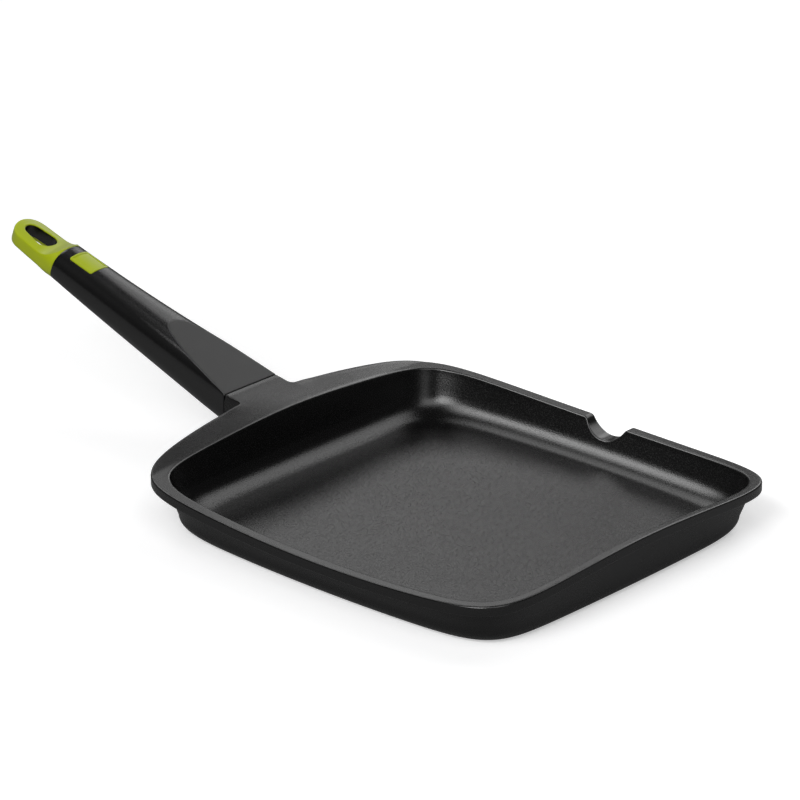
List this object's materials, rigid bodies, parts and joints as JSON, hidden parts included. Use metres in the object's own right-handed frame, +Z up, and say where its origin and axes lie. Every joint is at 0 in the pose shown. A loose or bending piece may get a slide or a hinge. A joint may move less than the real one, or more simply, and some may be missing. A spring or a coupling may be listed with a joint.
{
  "type": "griddle pan",
  "caption": "Square cast griddle pan with a flat floor, a saddle-shaped flanged rim, a pour notch in one side wall and a fixed tapering handle with a slotted end cap for hanging.",
  "frame": {"origin": "on the flat underside, below the middle of the cooking opening", "axes": "+Z up out of the pan, +X from the handle to the front, +Y towards the wall with the pour notch"},
  "size_m": [0.5251, 0.2805, 0.1043],
  "materials": {
    "coated_casting": "dark grey matte non-stick coating, finely textured, over cast aluminium",
    "grip": "satin black moulded phenolic, finely textured on the thumb facet",
    "lime_trim": "satin lime green moulded plastic",
    "fastener": "plated steel"
  },
  "bodies": {
    "root": {"pan_casting": "coated_casting", "handle_grip": "grip", "end_cap": "lime_trim", "badge_plate": "lime_trim", "handle_screw": "fastener", "spring_washer": "fastener"}
  },
  "joints": []
}
